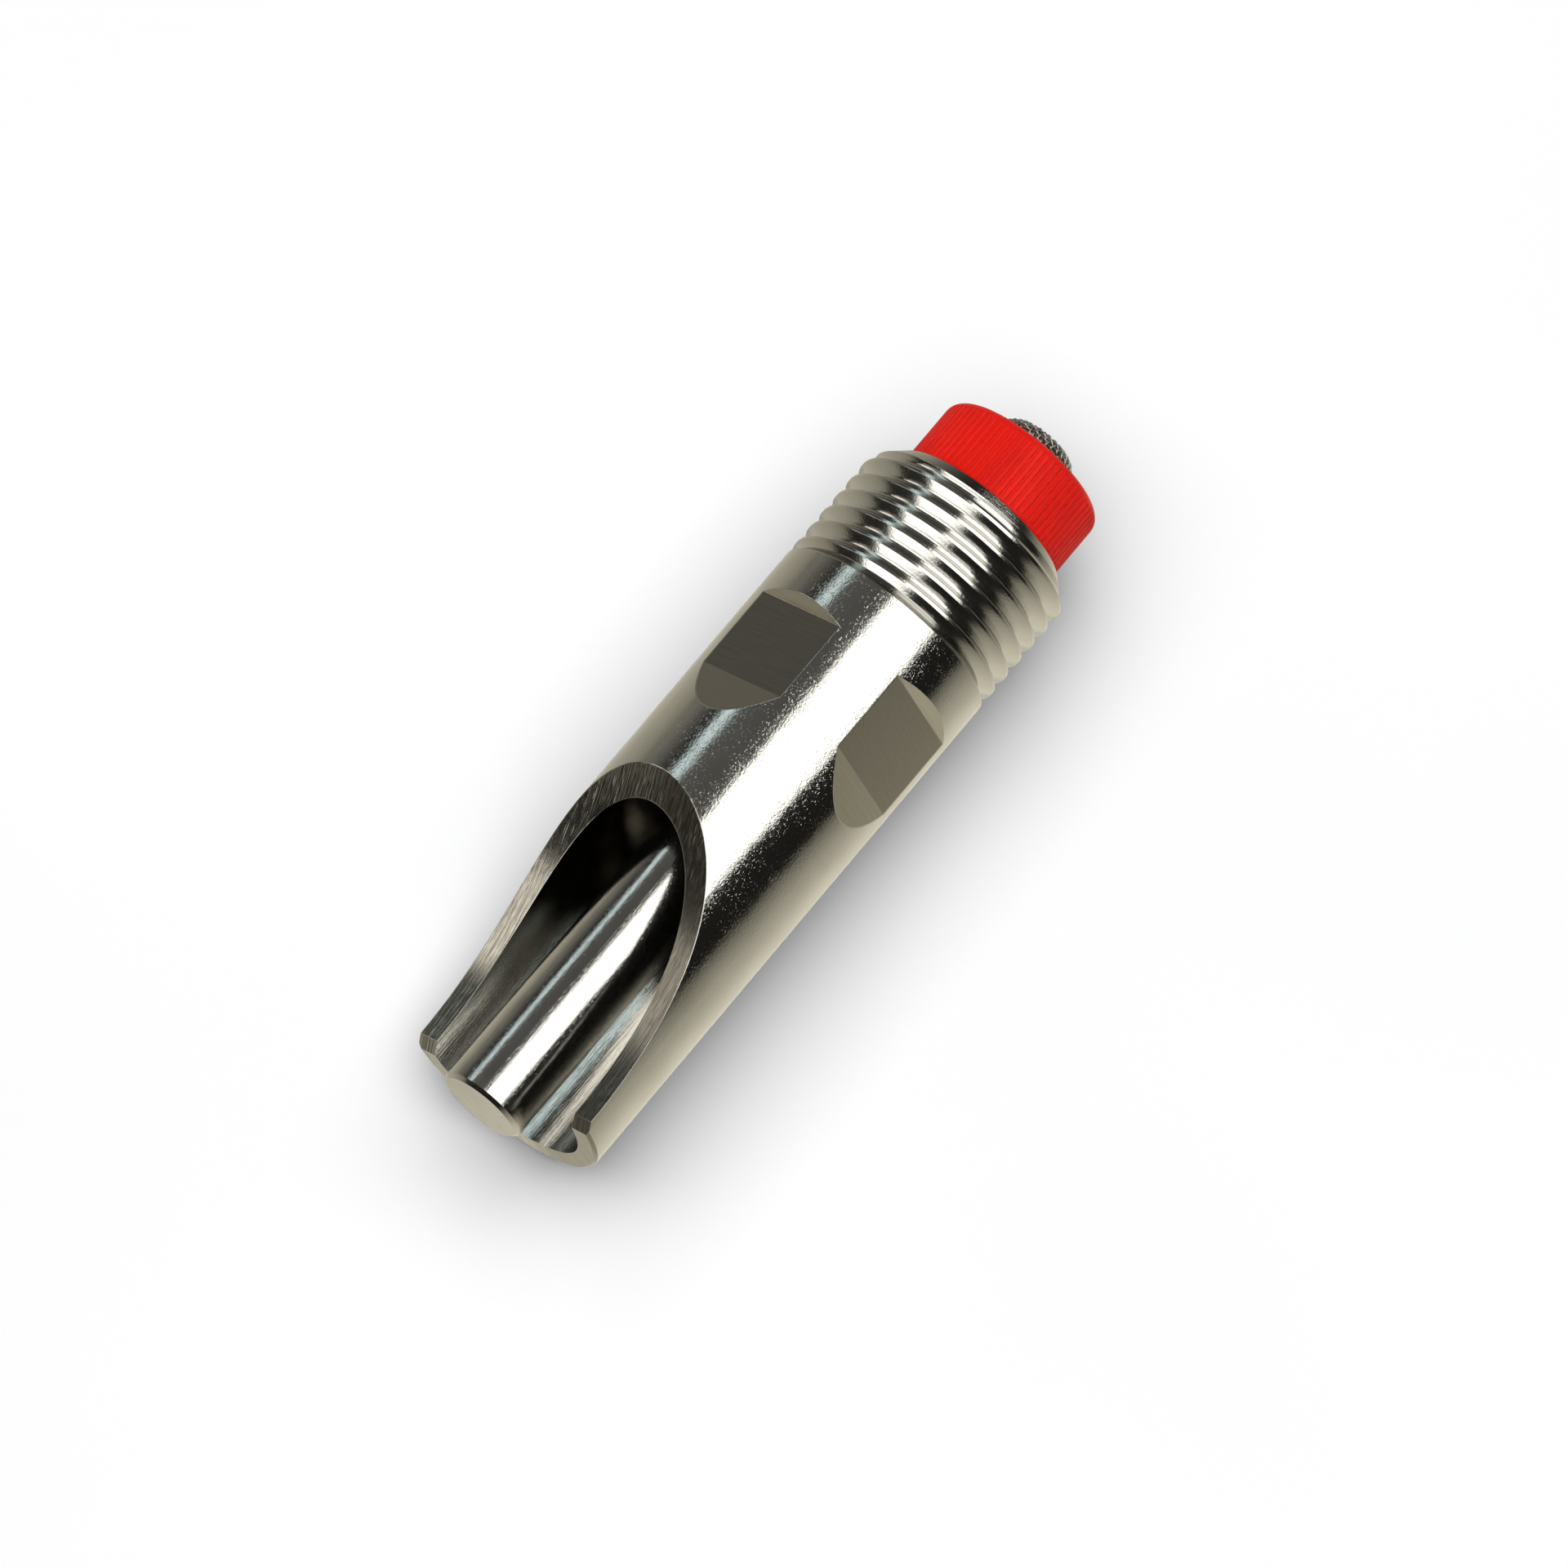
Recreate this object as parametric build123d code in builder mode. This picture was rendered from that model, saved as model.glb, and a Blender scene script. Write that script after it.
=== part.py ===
from build123d import *
import math
import os

os.makedirs("parts", exist_ok=True)

# Bite nipple drinker. The drinker's axis lies along X and +X points into the water pipe.
# The origin is on that axis, where the inlet thread begins. +Z is up as the drinker lies on a table,
# and its mouth is rolled a little over from there. All lengths are in millimetres.

# ---- barrel and inlet thread (G 1/2) ----
barrel_d = 20.955          # also the thread's major diameter
thread_pitch = 25.4 / 14
thread_depth = 0.6403 * thread_pitch
thread_flank = 27.5
crest_ease = 0.30          # how deep each crest's edges are eased
crest_land = 0.16          # flat left on each crest
thread_len = 12.6
thread_start = -1.594      # where the groove's path begins, on the +Z side
body_len = 65.0
end_chamfer = 1.8
nose_chamfer = 0.3
groove_top = 0.5           # how far the groove's cutting shape stands above the crests
runout_start = -0.5        # the groove fades in on a cone between these two places
runout_end = 0.9

# ---- scooped mouth ----
mouth_roll = 28.0          # from +Z towards +Y
mouth_bore_d = 17.0
mouth_depth = 31.0         # from the nose to the web that carries the seat
scoop_r = 40.6
scoop_flat = 0.83          # straight stretch at the nose, before the scoop's arc rises
lip_bevel = 0.9
mouth_corner = 1.2         # bevel at the foot of the mouth bore

# ---- spanner flats ----
flat_af = 18.6
flat_len = 8.1
flat_from_nose = 38.9
flat_ramp = 4.15           # run of the long ramp on the nose side, from the flat up to the barrel
flat_shoulder = 0.8        # run of the steep shoulder on the thread side
flats_roll = 31.0          # first flat's normal, from +Z towards +Y

# ---- valve ----
web_t = 3.0
pin_hole_d = 10.0
inlet_bore_d = 14.2
inlet_lead_in = 0.4
pin_d = 8.0
pin_proud = 2.5            # how far the bite pin stands out of the nose
pin_bevel = 0.35
flange_d = 12.0
flange_t = 2.0
flange_front_bevel = 0.15
flange_back_bevel = 0.3
stub_d = 5.0
stub_len = 3.0
stub_bevel = 0.5
seal_t = 2.0
seal_gap = 0.02
seal_hole_d = 9.8
spring_mean_d = 8.4
spring_wire_d = 1.0
spring_len = 9.0
spring_turns = 4.5
spring_gap = 0.03          # clearance at each end of the coil
retainer_t = 2.0
retainer_hole_d = 6.4
retainer_dish = 0.8

# ---- filter plug ----
plug_gap = 0.05
cap_d = 16.0
cap_len = 6.7
cap_round = 1.1
cap_bevel = 0.25
rib_count = 76
rib_depth = 0.14
rib_len = 5.6
rib_inset = 0.4            # from the cap's underside to the ribs
flute_r = 0.2
shank_d = 14.1
shank_len = 12.0
shank_bevel = 0.6
plug_bore_d = 8.2
pocket_d = 9.3
pocket_len = 12.0
ring_groove_w = 2.2
ring_groove_d = 11.1
ring_groove_at = 6.0       # from the cap's underside to the groove's near side
o_ring_wire_d = 1.5

# ---- filter screen and what holds it ----
screen_d = 7.9
screen_wall = 0.25
screen_round = 1.7
screen_proud = 2.45
screen_rim_d = 9.2
screen_rim_t = 0.5
screen_hole_d = 0.6
crown_hole_ring_r = 1.15
crown_hole_count = 6
corner_hole_count = 12
clamp_ring_d = 9.2
clamp_ring_hole_d = 6.6
clamp_ring_t = 1.5
disc_t = 2.0
disc_orifice_d = 1.8
disc_countersink = 0.8

# ---- how far cutting shapes reach past what they cut ----
past = 1.0
clear = 0.1

# ---- positions along the axis ----
nose_x = thread_len - body_len
end_x = thread_len
web_x = nose_x + mouth_depth
bore_x = web_x + web_t
seat_x = bore_x + seal_t
flange_back_x = seat_x + flange_t
spring_end_x = flange_back_x + spring_len
cap_x = end_x + plug_gap
cap_end_x = cap_x + cap_len
shank_x = cap_x - shank_len
pocket_end_x = shank_x + pocket_len
barrel_r = barrel_d / 2
root_r = barrel_r - thread_depth


def side_plane(roll):
    """A plane through the axis whose own x is X and whose own y stands out at this roll from +Z."""
    a = math.radians(roll)
    return Plane(origin=(0, 0, 0), x_dir=(1, 0, 0), z_dir=(0, -math.cos(a), math.sin(a)))


# ---- drinker body: turned bar with a scooped mouth, four flats and a helical thread ----
with BuildPart() as drinker_body:
    # outer turning
    with BuildSketch(Plane.XZ):
        with BuildLine():
            Polyline(
                (nose_x, 0),
                (nose_x, barrel_r - nose_chamfer),
                (nose_x + nose_chamfer, barrel_r),
                (end_x - end_chamfer, barrel_r),
                (end_x, barrel_r - end_chamfer),
                (end_x, 0),
                close=True,
            )
        make_face()
    revolve(axis=Axis.X)

    # mouth bore with a rounded bottom, pin hole, and inlet bore with a lead-in
    with BuildSketch(Plane.XZ):
        with BuildLine():
            Polyline(
                (nose_x - past, 0),
                (nose_x - past, mouth_bore_d / 2),
                (web_x - mouth_corner, mouth_bore_d / 2),
                (web_x, mouth_bore_d / 2 - mouth_corner),
                (web_x, pin_hole_d / 2),
                (bore_x, pin_hole_d / 2),
                (bore_x, inlet_bore_d / 2),
                (end_x - inlet_lead_in, inlet_bore_d / 2),
                (end_x + clear, inlet_bore_d / 2 + inlet_lead_in + clear),
                (end_x + clear, 0),
                close=True,
            )
        make_face()
    revolve(axis=Axis.X, mode=Mode.SUBTRACT)

    # the scoop: a long arc that opens one side of the nose, with a small bevel on each lip's tip
    top_y = barrel_r + past
    arc_dx = math.sqrt(scoop_r**2 - (scoop_r - top_y) ** 2)
    mid = math.asin(arc_dx / scoop_r) / 2
    with BuildSketch(side_plane(mouth_roll)):
        with BuildLine():
            start = (nose_x + lip_bevel, 0)
            Line((nose_x - past, -past - lip_bevel), start)
            ThreePointArc(
                start,
                (nose_x + scoop_flat + scoop_r * math.sin(mid), scoop_r * (1 - math.cos(mid))),
                (nose_x + scoop_flat + arc_dx, top_y),
            )
            Polyline(
                (nose_x + scoop_flat + arc_dx, top_y),
                (nose_x + scoop_flat + arc_dx, top_y + past),
                (nose_x - past, top_y + past),
                (nose_x - past, -past - lip_bevel),
            )
        make_face()
    extrude(amount=barrel_d, both=True, mode=Mode.SUBTRACT)

    # four spanner flats, each with a long ramp on the nose side and a steep shoulder on the thread side
    flat_x = nose_x + flat_from_nose
    flat_drop = barrel_r - flat_af / 2
    overshoot = (flat_drop + past) / flat_drop
    for i in range(4):
        with BuildSketch(side_plane(flats_roll + 90 * i)):
            with BuildLine():
                Polyline(
                    (flat_x - flat_ramp * overshoot, barrel_r + past),
                    (flat_x, flat_af / 2),
                    (flat_x + flat_len, flat_af / 2),
                    (flat_x + flat_len + flat_shoulder * overshoot, barrel_r + past),
                    close=True,
                )
            make_face()
        extrude(amount=barrel_d, both=True, mode=Mode.SUBTRACT)

# thread: one turn of groove at a time, with a rounded root and eased crests.
# The first turns run out on a short cone, so the groove fades in.
flank_angle = math.radians(thread_flank)
root_round = 0.137 * thread_pitch
toe = root_round * math.cos(flank_angle)
rise = root_round * (1 - math.sin(flank_angle))
knee = toe + (thread_depth - crest_ease - rise) * math.tan(flank_angle)
crest_half = 0.5 * thread_pitch - crest_land / 2
turns = math.ceil((thread_len - thread_start) / thread_pitch) + 1
for i in range(turns):
    turn_x = thread_start + i * thread_pitch
    with BuildPart() as groove_turn:
        with BuildLine():
            path = Helix(
                pitch=thread_pitch,
                height=thread_pitch,
                radius=barrel_r,
                center=(turn_x, 0, 0),
                direction=(1, 0, 0),
            )
        outward = path @ 0 - Vector(turn_x, 0, 0)
        with BuildSketch(Plane(origin=path @ 0, x_dir=outward, z_dir=path % 0)):
            with BuildLine():
                ThreePointArc(
                    (rise - thread_depth, -toe),
                    (-thread_depth, 0),
                    (rise - thread_depth, toe),
                )
                Polyline(
                    (rise - thread_depth, toe),
                    (-crest_ease, knee),
                    (clear, crest_half),
                    (groove_top, crest_half),
                    (groove_top, -crest_half),
                    (clear, -crest_half),
                    (-crest_ease, -knee),
                    (rise - thread_depth, -toe),
                )
            make_face()
        sweep(path=path, is_frenet=True)
        if i < 2:
            with BuildSketch(Plane.XZ):
                with BuildLine():
                    Polyline(
                        (runout_start - 3 * thread_pitch, 0),
                        (runout_end, 0),
                        (runout_end, root_r - clear),
                        (runout_start, barrel_r + clear / 2),
                        (runout_start, barrel_r + 2 * past),
                        (runout_start - 3 * thread_pitch, barrel_r + 2 * past),
                        close=True,
                    )
                make_face()
            revolve(axis=Axis.X, mode=Mode.SUBTRACT)
    with drinker_body:
        add(groove_turn.part, mode=Mode.SUBTRACT)

drinker_body.part.label = "drinker_body"
export_step(drinker_body.part, "parts/drinker_body.step")

# ---- bite pin: round rod, seat flange and a short stub that centres the spring ----
with BuildPart() as bite_pin:
    with BuildSketch(Plane.XZ):
        with BuildLine():
            tip_x = nose_x - pin_proud
            Polyline(
                (tip_x, 0),
                (tip_x, pin_d / 2 - pin_bevel),
                (tip_x + pin_bevel, pin_d / 2),
                (seat_x, pin_d / 2),
                (seat_x, flange_d / 2 - flange_front_bevel),
                (seat_x + flange_front_bevel, flange_d / 2),
                (flange_back_x - flange_back_bevel, flange_d / 2),
                (flange_back_x, flange_d / 2 - flange_back_bevel),
                (flange_back_x, stub_d / 2),
                (flange_back_x + stub_len - stub_bevel, stub_d / 2),
                (flange_back_x + stub_len, stub_d / 2 - stub_bevel),
                (flange_back_x + stub_len, 0),
                close=True,
            )
        make_face()
    revolve(axis=Axis.X)

bite_pin.part.label = "bite_pin"
export_step(bite_pin.part, "parts/bite_pin.step")

# ---- seat seal: flat rubber ring against the web ----
with BuildPart() as seat_seal:
    with BuildSketch(Plane.YZ.offset(bore_x)):
        Circle(inlet_bore_d / 2)
        Circle(seal_hole_d / 2, mode=Mode.SUBTRACT)
    extrude(amount=seal_t - seal_gap)

seat_seal.part.label = "seat_seal"
export_step(seat_seal.part, "parts/seat_seal.step")

# ---- return spring: wire coil between the pin's flange and the retainer ----
with BuildPart() as return_spring:
    coil_len = spring_len - spring_wire_d - 2 * spring_gap
    with BuildLine():
        coil = Helix(
            pitch=coil_len / spring_turns,
            height=coil_len,
            radius=spring_mean_d / 2,
            center=(flange_back_x + spring_wire_d / 2 + spring_gap, 0, 0),
            direction=(1, 0, 0),
        )
    with BuildSketch(Plane(origin=coil @ 0, z_dir=coil % 0)):
        Circle(spring_wire_d / 2)
    sweep(path=coil, is_frenet=True)

return_spring.part.label = "return_spring"
export_step(return_spring.part, "parts/return_spring.step")

# ---- spring retainer: ring pressed into the inlet bore, with a dished centre hole ----
with BuildPart() as spring_retainer:
    with BuildSketch(Plane.YZ.offset(spring_end_x)):
        Circle(inlet_bore_d / 2)
        Circle(retainer_hole_d / 2, mode=Mode.SUBTRACT)
    extrude(amount=retainer_t)
    chamfer(
        spring_retainer.edges().filter_by(GeomType.CIRCLE).sort_by(SortBy.RADIUS)[:2].sort_by(Axis.X)[-1],
        length=retainer_dish,
    )

spring_retainer.part.label = "spring_retainer"
export_step(spring_retainer.part, "parts/spring_retainer.step")

# ---- filter plug: ribbed cap and smooth shank with a ring groove, hollow for the screen ----
with BuildPart() as filter_plug:
    # cap with a rounded outer edge, and shank with the ring's groove
    groove_x = cap_x - ring_groove_at
    with BuildSketch(Plane.XZ):
        with BuildLine():
            Polyline(
                (cap_x, shank_d / 2),
                (cap_x, cap_d / 2 - cap_bevel),
                (cap_x + cap_bevel, cap_d / 2),
                (cap_end_x - cap_round, cap_d / 2),
            )
            RadiusArc((cap_end_x - cap_round, cap_d / 2), (cap_end_x, cap_d / 2 - cap_round), cap_round)
            Polyline(
                (cap_end_x, cap_d / 2 - cap_round),
                (cap_end_x, 0),
                (shank_x, 0),
                (shank_x, shank_d / 2 - shank_bevel),
                (shank_x + shank_bevel, shank_d / 2),
                (groove_x - ring_groove_w, shank_d / 2),
                (groove_x - ring_groove_w, ring_groove_d / 2),
                (groove_x, ring_groove_d / 2),
                (groove_x, shank_d / 2),
                (cap_x, shank_d / 2),
            )
        make_face()
    revolve(axis=Axis.X)
    # waterway and pocket
    with BuildSketch(Plane.YZ.offset(shank_x)):
        Circle(pocket_d / 2)
    extrude(amount=pocket_len, mode=Mode.SUBTRACT)
    with BuildSketch(Plane.YZ.offset(shank_x)):
        Circle(plug_bore_d / 2)
    extrude(amount=shank_len + cap_len, mode=Mode.SUBTRACT)
    # round-bottomed flutes leave fine ribs that run along the cap
    with BuildSketch(Plane.YZ.offset(cap_x + rib_inset)):
        with PolarLocations(cap_d / 2 + flute_r - rib_depth, rib_count):
            Circle(flute_r)
    extrude(amount=rib_len, mode=Mode.SUBTRACT)

filter_plug.part.label = "filter_plug"
export_step(filter_plug.part, "parts/filter_plug.step")

# ---- plug O-ring ----
with BuildPart() as plug_o_ring:
    ring_x = cap_x - ring_groove_at - ring_groove_w / 2
    with BuildSketch(Plane.XZ):
        with Locations((ring_x, ring_groove_d / 2 + o_ring_wire_d / 2)):
            Circle(o_ring_wire_d / 2)
    revolve(axis=Axis.X)

plug_o_ring.part.label = "plug_o_ring"
export_step(plug_o_ring.part, "parts/plug_o_ring.step")

# ---- filter screen: thimble with a rim, its crown drilled ----
with BuildPart() as filter_screen:
    crown_x = cap_end_x + screen_proud
    rim_x = pocket_end_x - screen_rim_t
    outer_r = screen_d / 2
    inner_r = outer_r - screen_wall
    with BuildSketch(Plane.XZ):
        with BuildLine():
            Polyline(
                (rim_x, inner_r),
                (rim_x, screen_rim_d / 2),
                (pocket_end_x, screen_rim_d / 2),
                (pocket_end_x, outer_r),
                (crown_x - screen_round, outer_r),
            )
            RadiusArc((crown_x - screen_round, outer_r), (crown_x, outer_r - screen_round), screen_round)
            Polyline(
                (crown_x, outer_r - screen_round),
                (crown_x, 0),
                (crown_x - screen_wall, 0),
                (crown_x - screen_wall, outer_r - screen_round),
            )
            RadiusArc(
                (crown_x - screen_wall, outer_r - screen_round),
                (crown_x - screen_round, inner_r),
                -(screen_round - screen_wall),
            )
            Line((crown_x - screen_round, inner_r), (rim_x, inner_r))
        make_face()
    revolve(axis=Axis.X)
    with BuildSketch(Plane.YZ.offset(crown_x - past)):
        Circle(screen_hole_d / 2)
        with PolarLocations(crown_hole_ring_r, crown_hole_count):
            Circle(screen_hole_d / 2)
    extrude(amount=2 * past, mode=Mode.SUBTRACT)
    for i in range(corner_hole_count):
        turn = math.radians(360 * i / corner_hole_count)
        out = Vector(1, math.cos(turn), math.sin(turn))
        heel = Vector(
            crown_x - screen_round,
            (outer_r - screen_round) * math.cos(turn),
            (outer_r - screen_round) * math.sin(turn),
        )
        with BuildSketch(Plane(origin=heel, z_dir=out)):
            Circle(screen_hole_d / 2)
        extrude(amount=screen_round + past, mode=Mode.SUBTRACT)

filter_screen.part.label = "filter_screen"
export_step(filter_screen.part, "parts/filter_screen.step")

# ---- screen ring: clamps the screen's rim in the pocket ----
with BuildPart() as screen_ring:
    clamp_x = rim_x - clamp_ring_t
    with BuildSketch(Plane.YZ.offset(clamp_x)):
        Circle(clamp_ring_d / 2)
        Circle(clamp_ring_hole_d / 2, mode=Mode.SUBTRACT)
    extrude(amount=clamp_ring_t)

screen_ring.part.label = "screen_ring"
export_step(screen_ring.part, "parts/screen_ring.step")

# ---- flow disc: sets how fast the water comes, through one countersunk orifice ----
with BuildPart() as flow_disc:
    with BuildSketch(Plane.YZ.offset(clamp_x - disc_t)):
        Circle(clamp_ring_d / 2)
        Circle(disc_orifice_d / 2, mode=Mode.SUBTRACT)
    extrude(amount=disc_t)
    chamfer(
        flow_disc.edges().filter_by(GeomType.CIRCLE).sort_by(SortBy.RADIUS)[:2].sort_by(Axis.X)[-1],
        length=disc_countersink,
    )

flow_disc.part.label = "flow_disc"
export_step(flow_disc.part, "parts/flow_disc.step")
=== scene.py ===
import math

import bpy
from mathutils import Matrix, Vector

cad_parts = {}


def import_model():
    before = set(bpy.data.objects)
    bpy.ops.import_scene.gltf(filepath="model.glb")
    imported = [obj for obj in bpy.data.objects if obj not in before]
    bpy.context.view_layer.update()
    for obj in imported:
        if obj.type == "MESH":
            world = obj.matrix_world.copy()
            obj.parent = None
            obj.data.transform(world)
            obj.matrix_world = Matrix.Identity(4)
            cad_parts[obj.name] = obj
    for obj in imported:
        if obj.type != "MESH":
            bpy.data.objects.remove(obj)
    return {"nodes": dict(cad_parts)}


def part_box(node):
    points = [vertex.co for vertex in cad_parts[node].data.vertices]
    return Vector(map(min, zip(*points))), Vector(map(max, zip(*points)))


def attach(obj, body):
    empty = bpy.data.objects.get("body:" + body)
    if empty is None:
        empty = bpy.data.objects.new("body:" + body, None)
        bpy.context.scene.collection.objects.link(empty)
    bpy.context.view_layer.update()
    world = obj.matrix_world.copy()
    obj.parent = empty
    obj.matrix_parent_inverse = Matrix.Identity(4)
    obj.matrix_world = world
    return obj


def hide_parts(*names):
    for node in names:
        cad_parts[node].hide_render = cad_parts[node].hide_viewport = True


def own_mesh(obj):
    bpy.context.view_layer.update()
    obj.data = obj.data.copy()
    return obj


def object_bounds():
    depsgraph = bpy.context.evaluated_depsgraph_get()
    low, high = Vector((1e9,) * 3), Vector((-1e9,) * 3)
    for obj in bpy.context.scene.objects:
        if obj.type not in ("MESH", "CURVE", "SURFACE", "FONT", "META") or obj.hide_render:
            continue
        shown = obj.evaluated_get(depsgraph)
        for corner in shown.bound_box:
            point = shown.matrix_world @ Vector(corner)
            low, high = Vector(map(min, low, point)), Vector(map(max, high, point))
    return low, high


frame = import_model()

# Looks of a stainless bite nipple drinker lying on a pale table. Lengths are in metres, in the CAD's own
# frame: the drinker's axis is X, and the table is below it. Names that end in _mm are in millimetres, and
# so is p in the materials.
MM = 0.001
cad_low, cad_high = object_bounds()
nodes = frame["nodes"]

# ---- places read from the frame ----
body_low, body_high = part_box("drinker_body")
barrel_r = body_high.z
screen_low, screen_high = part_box("filter_screen")
spring_low, spring_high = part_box("return_spring")
table_z = body_low.z
centre = (cad_low + cad_high) / 2

# ---- how the drinker is cut, as its CAD describes it ----
mouth_roll = math.radians(28)
bore_r = 8.5 * MM
thread_zone_x = -0.2 * MM  # in the thread's runout
mouth_end_x = -24.0 * MM   # between the scoop and the flats

# ---- how the steel is worn, and where shade is painted on it ----
edge_round = 0.08 * MM
edge_wear_width = 0.14 * MM
thread_wear = 0.8          # how far worn flanks lean towards the crest's own direction
skin_depth_mm = 0.010      # how proud a height of 1 stands on the barrel
pin_depth_mm = 0.007       # the same on the bite pin
near_lip_painted_shade = 0.62      # share of painted shade on the mouth's near lip
bore_shade_from = -31.0 * MM  # the painted shade in the mouth's bore starts here, and is full at the next
bore_shade_full = -23.0 * MM
bore_shade_most = 0.85


# ---------------------------------------------------------------- node helpers
def add(tree, kind, inputs=None, **settings):
    """A new node with its settings and its inputs, which are values or other nodes' sockets."""
    made = tree.nodes.new("ShaderNode" + kind)
    for key, value in settings.items():
        setattr(made, key, value)
    for key, value in (inputs or {}).items():
        if isinstance(value, bpy.types.NodeSocket):
            tree.links.new(value, made.inputs[key])
        else:
            made.inputs[key].default_value = value
    return made


def maths(tree, operation, a, b=0.0, clamp=False):
    return add(tree, "Math", {0: a, 1: b}, operation=operation, use_clamp=clamp).outputs[0]


def ramp(tree, value, low, high, start=0.0, end=1.0):
    """Maps value from low..high to start..end, held at both ends."""
    inputs = {"Value": value, "From Min": low, "From Max": high, "To Min": start, "To Max": end}
    return add(tree, "MapRange", inputs, clamp=True).outputs["Result"]


def noise(tree, vector, scale, detail=2.0, rough=0.5, stretch=(1, 1, 1)):
    """Noise with features about 1/scale millimetres wide, made 1/stretch times as long along each axis."""
    moved = add(tree, "Mapping", {"Vector": vector, "Scale": stretch})
    inputs = {"Vector": moved.outputs[0], "Scale": scale, "Detail": detail, "Roughness": rough}
    return add(tree, "TexNoise", inputs).outputs["Fac"]


def mix(tree, factor, a, b):
    """Mixes two numbers."""
    return add(tree, "Mix", {0: factor, 2: a, 3: b}, data_type="FLOAT").outputs[0]


def blend_colour(tree, factor, a, b):
    made = tree.nodes.new("ShaderNodeMix")
    made.data_type = "RGBA"
    for slot, value in zip((0, 6, 7), (factor, a, b)):
        if isinstance(value, bpy.types.NodeSocket):
            tree.links.new(value, made.inputs[slot])
        else:
            made.inputs[slot].default_value = value
    return made.outputs[2]


def material(name):
    """A material with its tree, its Principled shader and the piece's own coordinates in millimetres."""
    made = bpy.data.materials.new(name)
    made.use_nodes = True
    tree = made.node_tree
    shader = tree.nodes["Principled BSDF"]
    place = add(tree, "TexCoord").outputs["Object"]
    in_mm = add(tree, "VectorMath", {0: place, "Scale": 1000.0}, operation="SCALE").outputs[0]
    return made, tree, shader, in_mm


def bump(tree, height, depth_mm, under=None):
    """A bump whose height of 1 stands depth_mm proud."""
    inputs = {"Height": height, "Distance": depth_mm * MM, "Strength": 1.0}
    if under is not None:
        inputs["Normal"] = under
    return add(tree, "Bump", inputs).outputs[0]


def radius_of(tree, in_mm):
    """The position along the drinker's axis and the distance from it, in millimetres."""
    parts = add(tree, "SeparateXYZ", {0: in_mm})
    y2 = maths(tree, "POWER", parts.outputs["Y"], 2.0)
    z2 = maths(tree, "POWER", parts.outputs["Z"], 2.0)
    r = maths(tree, "SQRT", maths(tree, "ADD", y2, z2))
    return parts.outputs["X"], r


# ---------------------------------------------------------------- materials
STEEL = (0.60, 0.585, 0.545, 1)
STEEL_DARK = (0.42, 0.405, 0.37, 1)
STEEL_MILLED = (0.40, 0.375, 0.32, 1)
# painted shade: a dark colour laid deep in the mouth's bore and on its near lip, where shade falls
PAINTED_SHADE = (0.10, 0.085, 0.065, 1)


def rounded_thread_normal(tree, in_mm, share):
    """The bevelled surface normal, leaned by share towards straight out from the axis: a worn thread."""
    edge = add(tree, "Bevel", {"Radius": edge_round}, samples=4).outputs[0]
    flat = add(tree, "VectorMath", {0: in_mm, 1: (0, 1, 1)}, operation="MULTIPLY").outputs[0]
    radial = add(tree, "VectorMath", {0: flat}, operation="NORMALIZE").outputs[0]
    to_world = {"vector_type": "NORMAL", "convert_from": "OBJECT", "convert_to": "WORLD"}
    turn = add(tree, "VectorTransform", {0: radial}, **to_world)
    lean = add(tree, "VectorMath", {0: turn.outputs[0], "Scale": share}, operation="SCALE").outputs[0]
    total = add(tree, "VectorMath", {0: edge, 1: lean}, operation="ADD").outputs[0]
    return add(tree, "VectorMath", {0: total}, operation="NORMALIZE").outputs[0]


def edge_wear(tree, width, low, high):
    """1 along sharp edges and 0 on open faces, from how far a rounded normal turns from the face's own."""
    rounded = add(tree, "Bevel", {"Radius": width}, samples=6).outputs[0]
    plain = add(tree, "NewGeometry").outputs["Normal"]
    likeness = add(tree, "VectorMath", {0: rounded, 1: plain}, operation="DOT_PRODUCT").outputs["Value"]
    return ramp(tree, maths(tree, "SUBTRACT", 1.0, likeness), low, high)


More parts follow.
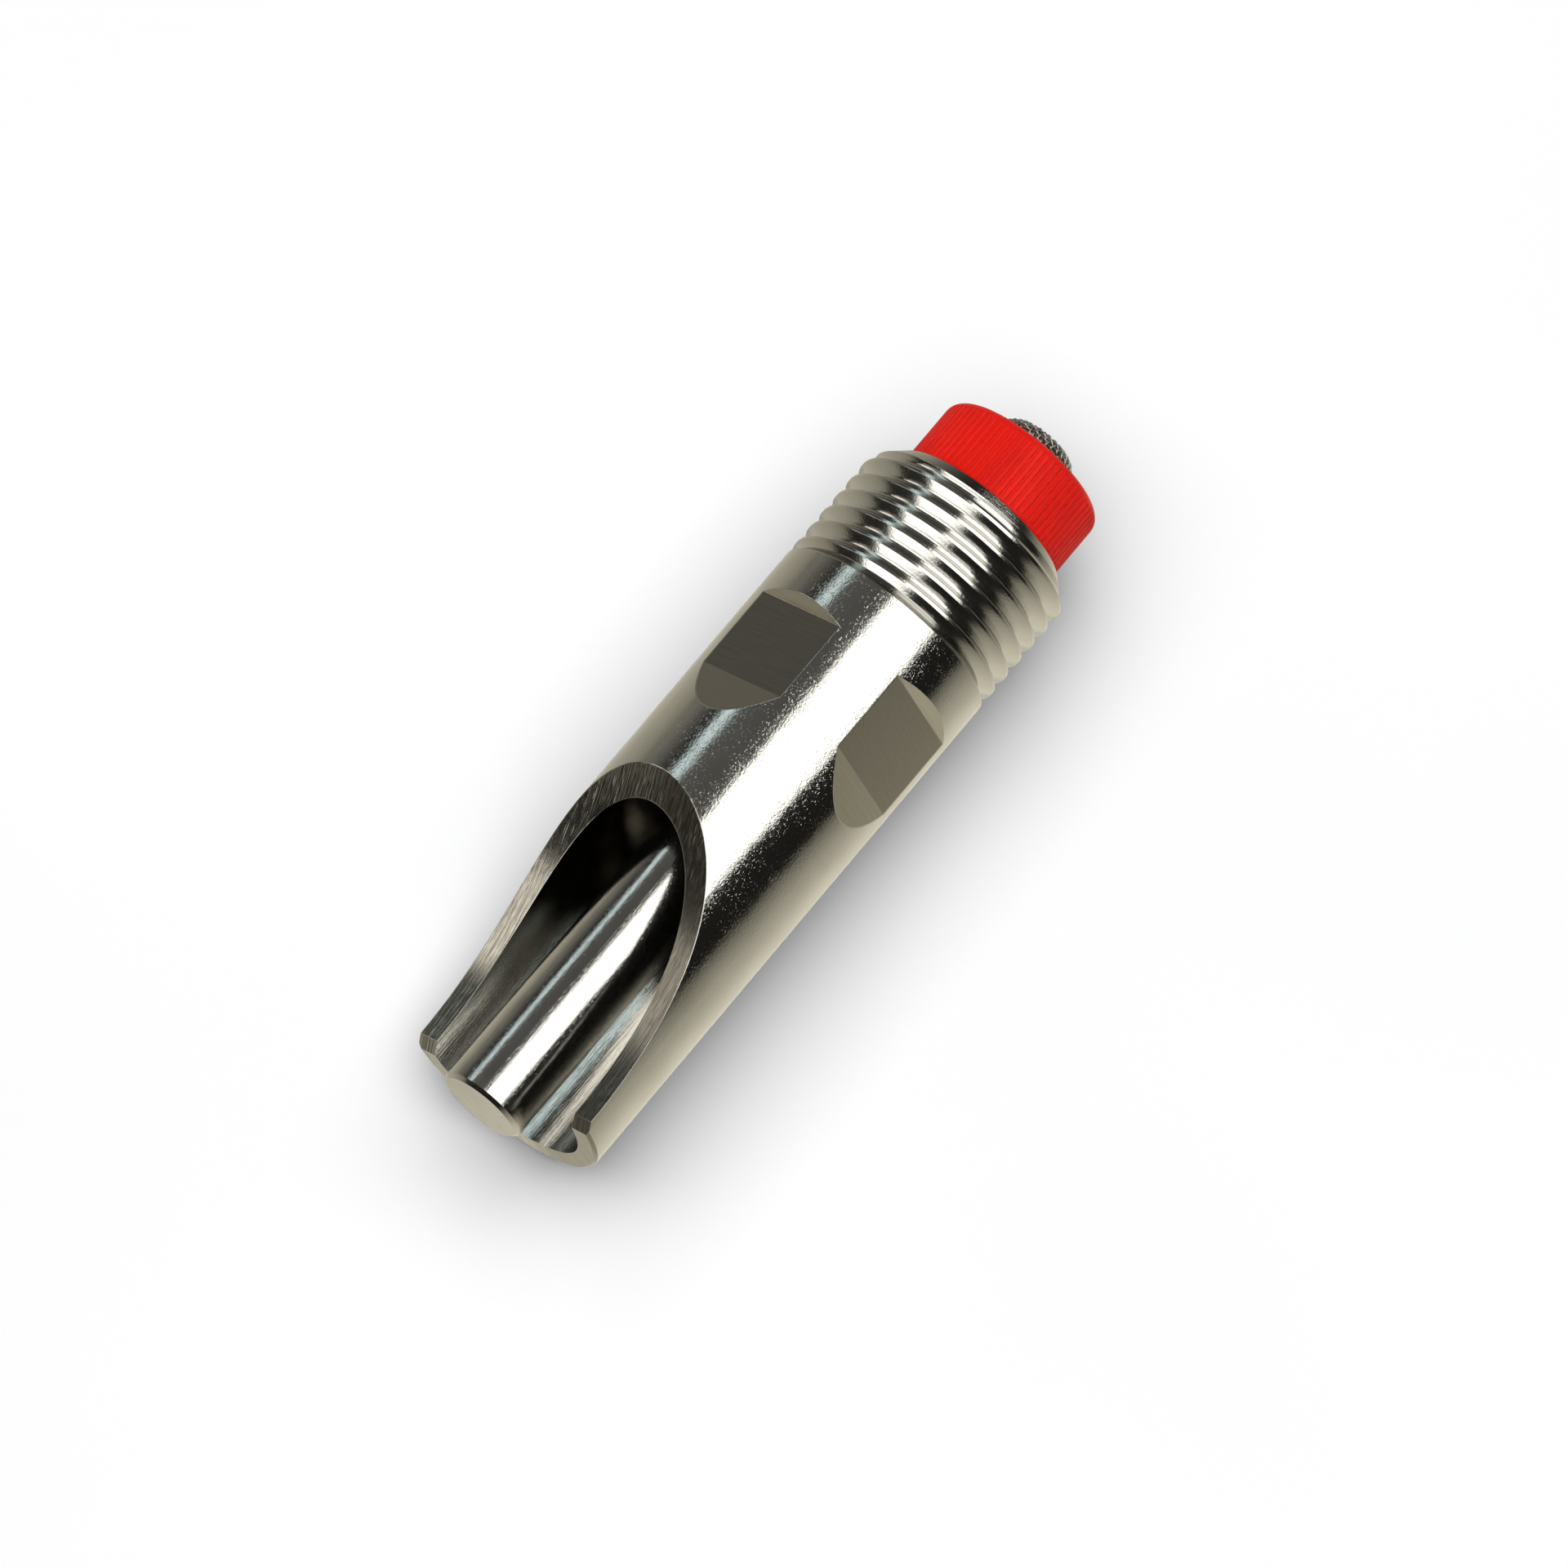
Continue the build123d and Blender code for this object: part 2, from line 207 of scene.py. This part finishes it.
def barrel_steel():
    """Bright-turned stainless bar, with milled flats and scoop, a bored mouth and a cut thread."""
    made, tree, shader, p = material("barrel_steel")
    x, r = radius_of(tree, p)

    # zones, in millimetres
    thread_x, thread_fade = thread_zone_x / MM, 0.4
    skin_r, skin_low, skin_high = barrel_r / MM, 0.06, 0.02
    bore_margin = 0.03
    threaded = ramp(tree, x, thread_x - thread_fade, thread_x + thread_fade)
    skin = ramp(tree, r, skin_r - skin_low, skin_r - skin_high)
    bored = maths(tree, "LESS_THAN", r, bore_r / MM + bore_margin)
    ahead = maths(tree, "LESS_THAN", x, mouth_end_x / MM)
    inside_skin = maths(tree, "SUBTRACT", 1.0, skin)
    not_bored = maths(tree, "SUBTRACT", 1.0, bored)
    milled = maths(tree, "MULTIPLY", inside_skin, not_bored)
    milled = maths(tree, "MULTIPLY", milled, maths(tree, "SUBTRACT", 1.0, threaded))
    scooped = maths(tree, "MULTIPLY", milled, ahead)
    flats = maths(tree, "SUBTRACT", milled, scooped)

    # bright skin: fine pits, a few deep ones, patches where they are thicker, and a soft change of tone
    pits = noise(tree, p, 5.0, 2.0, 0.65)
    deep = ramp(tree, noise(tree, p, 4.6, 2.0, 0.6), 0.60, 0.72)
    patches = noise(tree, p, 0.5, 3.0, 0.6)
    soft = noise(tree, p, 0.22, 2.0)
    scatter = ramp(tree, patches, 0.35, 0.65, 0.6, 1.6)
    pitted = maths(tree, "SUBTRACT", pits, maths(tree, "MULTIPLY", deep, 0.7))
    pitted = maths(tree, "MULTIPLY", pitted, scatter)

    # turned thread: rings around the axis, torn a little across them
    rings = noise(tree, p, 9.0, 3.0, 0.7, stretch=(1.0, 0.05, 0.05))
    torn = noise(tree, p, 3.5, 3.0, 0.7)
    thread_height = maths(tree, "ADD", rings, maths(tree, "MULTIPLY", torn, 1.2))

    # milled faces: the flats are cut across, the scoop is cut along
    across = noise(tree, p, 3.5, 3.0, 0.6, stretch=(1.0, 0.07, 0.07))
    mouth_up = {"Vector": p, "Angle": mouth_roll}
    turned = add(tree, "VectorRotate", mouth_up, rotation_type="X_AXIS").outputs[0]
    along = noise(tree, turned, 3.6, 3.0, 0.7, stretch=(0.03, 1.0, 0.05))
    far_lip = ramp(tree, add(tree, "SeparateXYZ", {0: turned}).outputs["Y"], -2.0, 2.0)
    bored_lines = noise(tree, p, 6.0, 3.0, 0.6, stretch=(0.05, 1.0, 1.0))

    # relief
    height = mix(tree, flats, pitted, maths(tree, "MULTIPLY", across, 2.2))
    height = mix(tree, scooped, height, maths(tree, "MULTIPLY", along, 4.2))
    height = mix(tree, bored, height, maths(tree, "MULTIPLY", bored_lines, 1.4))
    height = mix(tree, threaded, height, thread_height)
    lean = maths(tree, "MULTIPLY", threaded, thread_wear)
    normal = rounded_thread_normal(tree, p, lean)
    tree.links.new(bump(tree, height, skin_depth_mm, normal), shader.inputs["Normal"])

    # roughness
    rough = ramp(tree, pits, 0.3, 0.7, 0.07, 0.15)
    rough = mix(tree, threaded, rough, 0.14)
    rough = mix(tree, flats, rough, ramp(tree, across, 0.3, 0.7, 0.14, 0.21))
    lips_rough = mix(tree, far_lip, 0.20, ramp(tree, along, 0.3, 0.7, 0.10, 0.22))
    rough = mix(tree, scooped, rough, lips_rough)
    rough = mix(tree, bored, rough, 0.09)
    tree.links.new(rough, shader.inputs["Roughness"])

    # colour: darker milled faces with bright worn edges, and painted shade deep in the mouth and on its
    # near lip
    tone = ramp(tree, soft, 0.3, 0.7, 0.0, 0.25)
    tone = mix(tree, bored, tone, 0.1)
    milled_tone = mix(tree, scooped, 0.9, ramp(tree, along, 0.35, 0.65, 0.3, 1.0))
    tone = mix(tree, milled, tone, milled_tone)
    worn = edge_wear(tree, edge_wear_width, 0.02, 0.12)
    tone = maths(tree, "MULTIPLY", tone, maths(tree, "SUBTRACT", 1.0, worn))
    colour = blend_colour(tree, tone, STEEL, STEEL_MILLED)
    # painted shade deep in the mouth's bore, darkest towards the bottom of the mouth
    bore_shade_mask = ramp(tree, x, bore_shade_from / MM, bore_shade_full / MM, 0.0, bore_shade_most)
    painted_shade = maths(tree, "MULTIPLY", bored, bore_shade_mask)
    # painted shade on the mouth's near lip, which makes it darker than the far lip
    near_lip_shade_mask = maths(tree, "MULTIPLY", scooped, ramp(tree, far_lip, 0.0, 1.0, near_lip_painted_shade, 0.0))
    painted_shade = maths(tree, "ADD", painted_shade, near_lip_shade_mask)
    tree.links.new(blend_colour(tree, painted_shade, colour, PAINTED_SHADE), shader.inputs["Base Color"])
    shader.inputs["Metallic"].default_value = 1.0
    return made


def pin_steel():
    """Drawn and polished rod: fine lines along it and small pits."""
    made, tree, shader, p = material("pin_steel")
    lines = noise(tree, p, 5.0, 3.0, 0.6, stretch=(0.12, 1.0, 1.0))
    pits = noise(tree, p, 4.0, 3.0, 0.65)
    deep = ramp(tree, noise(tree, p, 4.6, 2.0, 0.6), 0.60, 0.72, 0.6, 0.0)
    height = maths(tree, "ADD", maths(tree, "ADD", pits, lines), deep)
    tree.links.new(bump(tree, height, pin_depth_mm), shader.inputs["Normal"])
    tree.links.new(ramp(tree, pits, 0.3, 0.7, 0.10, 0.18), shader.inputs["Roughness"])
    soft = noise(tree, p, 0.4, 2.0)
    tone = ramp(tree, soft, 0.3, 0.7, 0.1, 0.5)
    tree.links.new(blend_colour(tree, tone, STEEL, STEEL_DARK), shader.inputs["Base Color"])
    shader.inputs["Metallic"].default_value = 1.0
    return made


def wire_steel(name, colour, dark, roughness):
    """Drawn wire: a fine even grain and a mottled tarnish."""
    made, tree, shader, p = material(name)
    grain = noise(tree, p, 9.0, 3.0, 0.6)
    tarnish = noise(tree, p, 1.3, 3.0, 0.6)
    tree.links.new(bump(tree, grain, 0.004), shader.inputs["Normal"])
    rough = ramp(tree, grain, 0.3, 0.7, roughness - 0.06, roughness + 0.08)
    tree.links.new(rough, shader.inputs["Roughness"])
    mottled = blend_colour(tree, ramp(tree, tarnish, 0.35, 0.7), colour, dark)
    tree.links.new(mottled, shader.inputs["Base Color"])
    shader.inputs["Metallic"].default_value = 1.0
    return made


def red_plastic():
    """Moulded red plastic: a faint orange-peel skin, and a slightly darker tone where it flowed."""
    made, tree, shader, p = material("red_plastic")
    peel = noise(tree, p, 2.6, 3.0, 0.55)
    flow = noise(tree, p, 0.35, 3.0, 0.55, stretch=(0.5, 1.0, 1.0))
    tree.links.new(bump(tree, peel, 0.006), shader.inputs["Normal"])
    tree.links.new(ramp(tree, flow, 0.3, 0.7, 0.42, 0.52), shader.inputs["Roughness"])
    red = blend_colour(tree, ramp(tree, flow, 0.3, 0.7), (0.74, 0.009, 0.003, 1), (0.62, 0.007, 0.003, 1))
    tree.links.new(red, shader.inputs["Base Color"])
    shader.inputs["Subsurface Weight"].default_value = 0.25
    shader.inputs["Subsurface Radius"].default_value = (1.0, 0.1, 0.05)
    shader.inputs["Subsurface Scale"].default_value = 0.4 * MM
    shader.inputs["Specular IOR Level"].default_value = 0.12
    return made


def soft_solid(name, colour, dark, roughness, grain_mm):
    """Rubber or plain plastic: a fine moulded grain and a mottled tone."""
    made, tree, shader, p = material(name)
    grain = noise(tree, p, 1 / grain_mm, 3.0, 0.6)
    mottle = noise(tree, p, 0.6, 3.0, 0.6)
    tree.links.new(bump(tree, grain, 0.01), shader.inputs["Normal"])
    rough = ramp(tree, grain, 0.3, 0.7, roughness - 0.08, roughness + 0.08)
    tree.links.new(rough, shader.inputs["Roughness"])
    mottled = blend_colour(tree, ramp(tree, mottle, 0.3, 0.7), colour, dark)
    tree.links.new(mottled, shader.inputs["Base Color"])
    return made


def table_white():
    """Pale matt table."""
    made, tree, shader, p = material("table_white")
    tooth = noise(tree, p, 0.8, 3.0, 0.6)
    tree.links.new(bump(tree, tooth, 0.02), shader.inputs["Normal"])
    wash = noise(tree, p, 0.01, 2.0)
    white = blend_colour(tree, ramp(tree, wash, 0.3, 0.7), (0.90, 0.90, 0.90, 1), (0.87, 0.87, 0.875, 1))
    tree.links.new(white, shader.inputs["Base Color"])
    shader.inputs["Roughness"].default_value = 0.9
    shader.inputs["Specular IOR Level"].default_value = 0.1
    return made


# ---------------------------------------------------------------- geometry helpers
def mesh_piece(name, points, faces, finish, smooth=True):
    mesh = bpy.data.meshes.new(name)
    mesh.from_pydata(points, [], faces)
    mesh.polygons.foreach_set("use_smooth", [smooth] * len(faces))
    mesh.materials.append(finish)
    piece = bpy.data.objects.new(name, mesh)
    bpy.context.scene.collection.objects.link(piece)
    return piece


def tube(path, radius, sides, points, faces):
    """Adds a capped round tube along path to points and faces, turning its section as little as it can."""
    first = len(points)
    across = None
    for i, here in enumerate(path):
        ahead = path[min(i + 1, len(path) - 1)] - path[max(i - 1, 0)]
        ahead.normalize()
        if across is None:
            across = ahead.orthogonal()
        across = (across - ahead * across.dot(ahead)).normalized()
        other = ahead.cross(across)
        for k in range(sides):
            a = 2 * math.pi * k / sides
            points.append(here + (across * math.cos(a) + other * math.sin(a)) * radius)
    for i in range(len(path) - 1):
        for k in range(sides):
            a, b = first + i * sides + k, first + i * sides + (k + 1) % sides
            faces.append((a, b, b + sides, a + sides))
    last = first + (len(path) - 1) * sides
    faces.append(tuple(first + k for k in reversed(range(sides))))
    faces.append(tuple(last + k for k in range(sides)))


def revolved(profile, count, points, faces):
    """Adds a ring-shaped solid: a closed profile of (x, r) points turned about the X axis."""
    first, n = len(points), len(profile)
    for i in range(count):
        a = 2 * math.pi * i / count
        points.extend(Vector((x, r * math.cos(a), r * math.sin(a))) for x, r in profile)
    for i in range(count):
        here, ahead = first + i * n, first + (i + 1) % count * n
        for k in range(n):
            faces.append((here + k, here + (k + 1) % n, ahead + (k + 1) % n, ahead + k))


# ---------------------------------------------------------------- the woven filter screen
wire_pitch = 0.5 * MM
wire_r = 0.1 * MM
screen_r = 3.95 * MM
crown_round = 1.7 * MM
cloth_depth = 4.3 * MM     # how far the woven cloth reaches down from the crown
wire_sides = 6


def thimble_point(along, turn, outward):
    """A point of the thimble, from its distance along the skin, its angle and its height above the skin."""
    r_mid = screen_r - 2 * wire_r
    corner = crown_round - 2 * wire_r
    flat = r_mid - corner
    arc = corner * math.pi / 2
    top = screen_high.x - 2 * wire_r
    if along < flat:
        x, r, nx, nr = top, along, 1.0, 0.0
    elif along < flat + arc:
        a = (along - flat) / corner
        x, r = top - corner * (1 - math.cos(a)), flat + corner * math.sin(a)
        nx, nr = math.cos(a), math.sin(a)
    else:
        x, r, nx, nr = top - corner - (along - flat - arc), r_mid, 0.0, 1.0
    x, r = x + nx * outward, r + nr * outward
    return Vector((x, r * math.cos(turn), r * math.sin(turn)))


def woven_screen(finish):
    """Plain-woven wire cloth pressed to a thimble: two sets of wires that pass over and under."""
    points, faces = [], []
    corner = crown_round - 2 * wire_r
    reach = screen_r - 2 * wire_r - corner + corner * math.pi / 2 + cloth_depth - corner
    count = int(reach / wire_pitch)
    steps_per_pitch = 4
    fewest_steps = 3
    for family in (0, 1):
        for i in range(-count, count + 1):
            side = (i + 0.5) * wire_pitch
            half = math.sqrt(max(reach**2 - side**2, 0))
            steps = int(half / wire_pitch * steps_per_pitch)
            if steps < fewest_steps:
                continue
            path = []
            for k in range(-steps, steps + 1):
                t = k * wire_pitch / steps_per_pitch
                flat_y, flat_z = (t, side) if family == 0 else (side, t)
                wave = math.sin(math.pi * t / wire_pitch) * (1 if (i + family) % 2 else -1)
                skin = math.hypot(flat_y, flat_z)
                path.append(thimble_point(skin, math.atan2(flat_z, flat_y), wave * wire_r))
            tube(path, wire_r, wire_sides, points, faces)
    return mesh_piece("woven_screen", points, faces, finish)


def screen_sleeve(finish):
    """The plain sleeve and rim that hold the cloth inside the plug."""
    points, faces = [], []
    wall = 0.25 * MM
    overlap = 0.4 * MM
    outer, inner = screen_r, screen_r - wall
    rim_r, rim_t, edge = screen_high.y, 0.5 * MM, 0.08 * MM
    top = screen_high.x - cloth_depth + overlap
    base = screen_low.x
    profile = [
        (base, inner + edge),
        (base + edge, inner),
        (top - edge, inner),
        (top, inner + edge),
        (top, outer - edge),
        (top - edge, outer),
        (base + rim_t, outer),
        (base + rim_t, rim_r - edge),
        (base + rim_t - edge, rim_r),
        (base + edge, rim_r),
        (base, rim_r - edge),
    ]
    sleeve_sides = 96
    revolved(profile, sleeve_sides, points, faces)
    return mesh_piece("screen_sleeve", points, faces, finish, smooth=False)


# ---------------------------------------------------------------- the return spring
def return_spring_coil(finish):
    """Compression spring whose turns lie closer together towards its ends."""
    wire = 0.5 * MM
    end_ease = 0.35
    sides = 14
    coil_r = spring_high.z - wire
    turns, per_turn = 4.5, 48
    start, end = spring_low.x + wire, spring_high.x - wire
    path = []
    for i in range(int(turns * per_turn) + 1):
        share = i / (turns * per_turn)
        a = 2 * math.pi * turns * share
        eased = share * share * (3 - 2 * share)
        x = start + (end - start) * (end_ease * eased + (1 - end_ease) * share)
        path.append(Vector((x, coil_r * math.sin(a), coil_r * math.cos(a))))
    points, faces = [], []
    tube(path, wire, sides, points, faces)
    return mesh_piece("spring_coil", points, faces, finish)


# ---------------------------------------------------------------- finishes on the CAD nodes
def finish_node(name, finish):
    mesh = nodes[name].data
    mesh.materials.clear()
    mesh.materials.append(finish)


steel = barrel_steel()
plastic = red_plastic()
rubber = soft_solid("seal_rubber", (0.018, 0.018, 0.018, 1), (0.035, 0.034, 0.033, 1), 0.62, 0.12)
finish_node("drinker_body", steel)
finish_node("bite_pin", pin_steel())
finish_node("seat_seal", rubber)
retainer_steel = wire_steel("retainer_steel", (0.56, 0.55, 0.52, 1), (0.40, 0.39, 0.36, 1), 0.3)
finish_node("spring_retainer", retainer_steel)
finish_node("filter_plug", plastic)
finish_node("plug_o_ring", rubber)
finish_node("screen_ring", plastic)
disc_plastic = soft_solid("disc_plastic", (0.66, 0.65, 0.60, 1), (0.58, 0.57, 0.52, 1), 0.5, 0.3)
finish_node("flow_disc", disc_plastic)

screen_wire = wire_steel("screen_wire", (0.46, 0.45, 0.41, 1), (0.24, 0.235, 0.21, 1), 0.32)
cloth = woven_screen(screen_wire)
sleeve = screen_sleeve(screen_wire)
for piece in (cloth, sleeve):
    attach(piece, "strainer")
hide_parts("filter_screen")
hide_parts("filter_screen")

spring_steel = wire_steel("spring_steel", (0.55, 0.54, 0.51, 1), (0.38, 0.37, 0.34, 1), 0.26)
spring = return_spring_coil(spring_steel)
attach(spring, "spring_carrier")
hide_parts("return_spring")
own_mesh(spring)

# The table is lit straight from the lights, without light thrown back by the drinker.
for piece in [nodes[name] for name in sorted(nodes)] + [cloth, sleeve, spring]:
    piece.visible_diffuse = False


# ---------------------------------------------------------------- table, light and camera
table_half = 2.5
card_drop = 0.05 * MM      # how far the reflected card lies below the table
card_half_length = 36 * MM
card_near = 16 * MM        # nearer than this the card's light stays level
card_side = 10 * MM        # the card changes from its near side to its far side over twice this
card_fall, card_radiance = 0.62, 0.78
far_card_fall, far_card_radiance = 0.30, 0.56


def square(name, height, finish):
    """A large level square at this height."""
    near, far = -table_half, table_half
    points = [(near, near, height), (far, near, height), (far, far, height), (near, far, height)]
    return mesh_piece(name, points, [(0, 1, 2, 3)], finish, smooth=False)


def table():
    made = square("table", table_z, table_white())
    made.visible_glossy = False


def reflected_table():
    """What the bright metal sees of the table: warm light that falls away from the drinker."""
    made = bpy.data.materials.new("reflected_table")
    made.use_nodes = True
    made.cycles.emission_sampling = "NONE"
    tree = made.node_tree
    tree.nodes.remove(tree.nodes["Principled BSDF"])
    place = add(tree, "TexCoord").outputs["Object"]
    parts = add(tree, "SeparateXYZ", {0: place})
    from_middle = maths(tree, "ABSOLUTE", parts.outputs["X"])
    past_x = maths(tree, "SUBTRACT", from_middle, card_half_length, clamp=True)
    y2 = maths(tree, "POWER", parts.outputs["Y"], 2.0)
    away = maths(tree, "SQRT", maths(tree, "ADD", y2, maths(tree, "POWER", past_x, 2.0)))
    away = maths(tree, "MAXIMUM", away, card_near)
    far_side = ramp(tree, parts.outputs["Y"], -card_side, card_side)
    fall = mix(tree, far_side, card_fall, far_card_fall)
    level = maths(tree, "POWER", maths(tree, "DIVIDE", card_near, away), fall)
    glow = maths(tree, "MULTIPLY", level, mix(tree, far_side, card_radiance, far_card_radiance))
    light = add(tree, "Emission", {"Color": (1.05, 1.0, 0.82, 1), "Strength": glow})
    tree.links.new(light.outputs[0], tree.nodes["Material Output"].inputs["Surface"])
    card = square("reflected_table", 0, made)
    card.location = (centre.x, 0, table_z - card_drop)
    for kind in ("camera", "diffuse", "transmission", "volume_scatter", "shadow"):
        setattr(card, "visible_" + kind, False)


def panel_light(name, tilt, lean, distance, size, radiance, colour, lights_table):
    """A rectangular light over the drinker. In degrees, tilt is from straight up towards -Y and lean is
    towards +X. Either it lights matt surfaces, or it is what the bright metal reflects."""
    data = bpy.data.lights.new(name, "AREA")
    data.shape = "RECTANGLE"
    data.size, data.size_y = size
    data.energy = radiance * math.pi * size[0] * size[1]
    data.color = colour
    data.cycles.use_multiple_importance_sampling = not lights_table
    lamp = bpy.data.objects.new(name, data)
    bpy.context.scene.collection.objects.link(lamp)
    t, s = math.radians(tilt), math.radians(lean)
    away = Vector((math.sin(s), -math.cos(s) * math.sin(t), math.cos(s) * math.cos(t)))
    across = Vector((0, math.cos(t), math.sin(t)))
    turn = Matrix((across.cross(away), across, away)).transposed().to_4x4()
    lamp.matrix_world = Matrix.Translation(centre + away * distance) @ turn
    lamp.visible_camera = False
    lamp.visible_diffuse = lights_table
    lamp.visible_glossy = not lights_table


room_level = 0.015
glow_level, glow_above = 0.25, 0.03
glow_top = 0.42            # above this the glow has fallen to glow_above


def world():
    """A dark room with a low warm glow on the horizon towards +X and +Y, which matt surfaces don't see."""
    made = bpy.data.worlds.new("room")
    made.use_nodes = True
    tree = made.node_tree
    toward = add(tree, "SeparateXYZ", {0: add(tree, "TexCoord").outputs["Generated"]})
    height = ramp(tree, toward.outputs["Z"], 0.0, glow_top, glow_level, glow_above)
    to_y = ramp(tree, toward.outputs["Y"], 0.2, 0.8)
    to_x = ramp(tree, toward.outputs["X"], -0.1, 0.2)
    side = maths(tree, "MULTIPLY", to_y, to_x)
    glow = maths(tree, "ADD", maths(tree, "MULTIPLY", height, side), room_level)
    back = tree.nodes["Background"]
    back.inputs["Color"].default_value = (1.0, 0.97, 0.88, 1)
    tree.links.new(glow, back.inputs["Strength"])
    bpy.context.scene.world = made
    made.cycles_visibility.diffuse = False


camera_azimuth, camera_elevation = math.radians(-51.62), math.radians(69.41)
camera_distance = 1.5
camera_lens = 407.6
aim = Vector((centre.x + 0.2 * MM, -2.0 * MM, 0))


def camera():
    """A long lens from high over the mouth's end."""
    flat = math.cos(camera_elevation)
    back = Vector((
        math.sin(camera_azimuth) * flat,
        -math.cos(camera_azimuth) * flat,
        math.sin(camera_elevation),
    ))
    data = bpy.data.cameras.new("camera")
    data.sensor_width = 36
    data.lens = camera_lens
    data.clip_start, data.clip_end = 0.1, 20
    made = bpy.data.objects.new("camera", data)
    bpy.context.scene.collection.objects.link(made)
    made.location = aim + back * camera_distance
    made.rotation_euler = (-back).to_track_quat("-Z", "Y").to_euler()
    bpy.context.scene.camera = made


table()
reflected_table()
# name, tilt, lean, distance, (length, width), radiance, colour, lights the table
panel_light("overhead", 0, 0, 0.8, (1.35, 1.35), 2.45, (1.0, 1.0, 1.0), True)
panel_light("broad_panel", 24.5, 16, 0.6, (1.2, 0.53), 2.4, (1.0, 1.0, 0.98), False)
panel_light("window_strip", -50, 16, 0.8, (0.9, 0.14), 1.15, (0.78, 0.95, 1.0), False)
panel_light("dim_ceiling", -24, 16, 0.9, (1.3, 0.70), 0.09, (1.0, 0.98, 0.94), False)
panel_light("near_panel", -23, -36, 0.8, (0.55, 0.66), 2.4, (1.0, 1.0, 0.98), False)
panel_light("low_panel", -67, -14, 0.8, (0.30, 0.26), 1.5, (1.0, 0.95, 0.86), False)
world()
camera()
bpy.context.scene.view_settings.view_transform = "Standard"
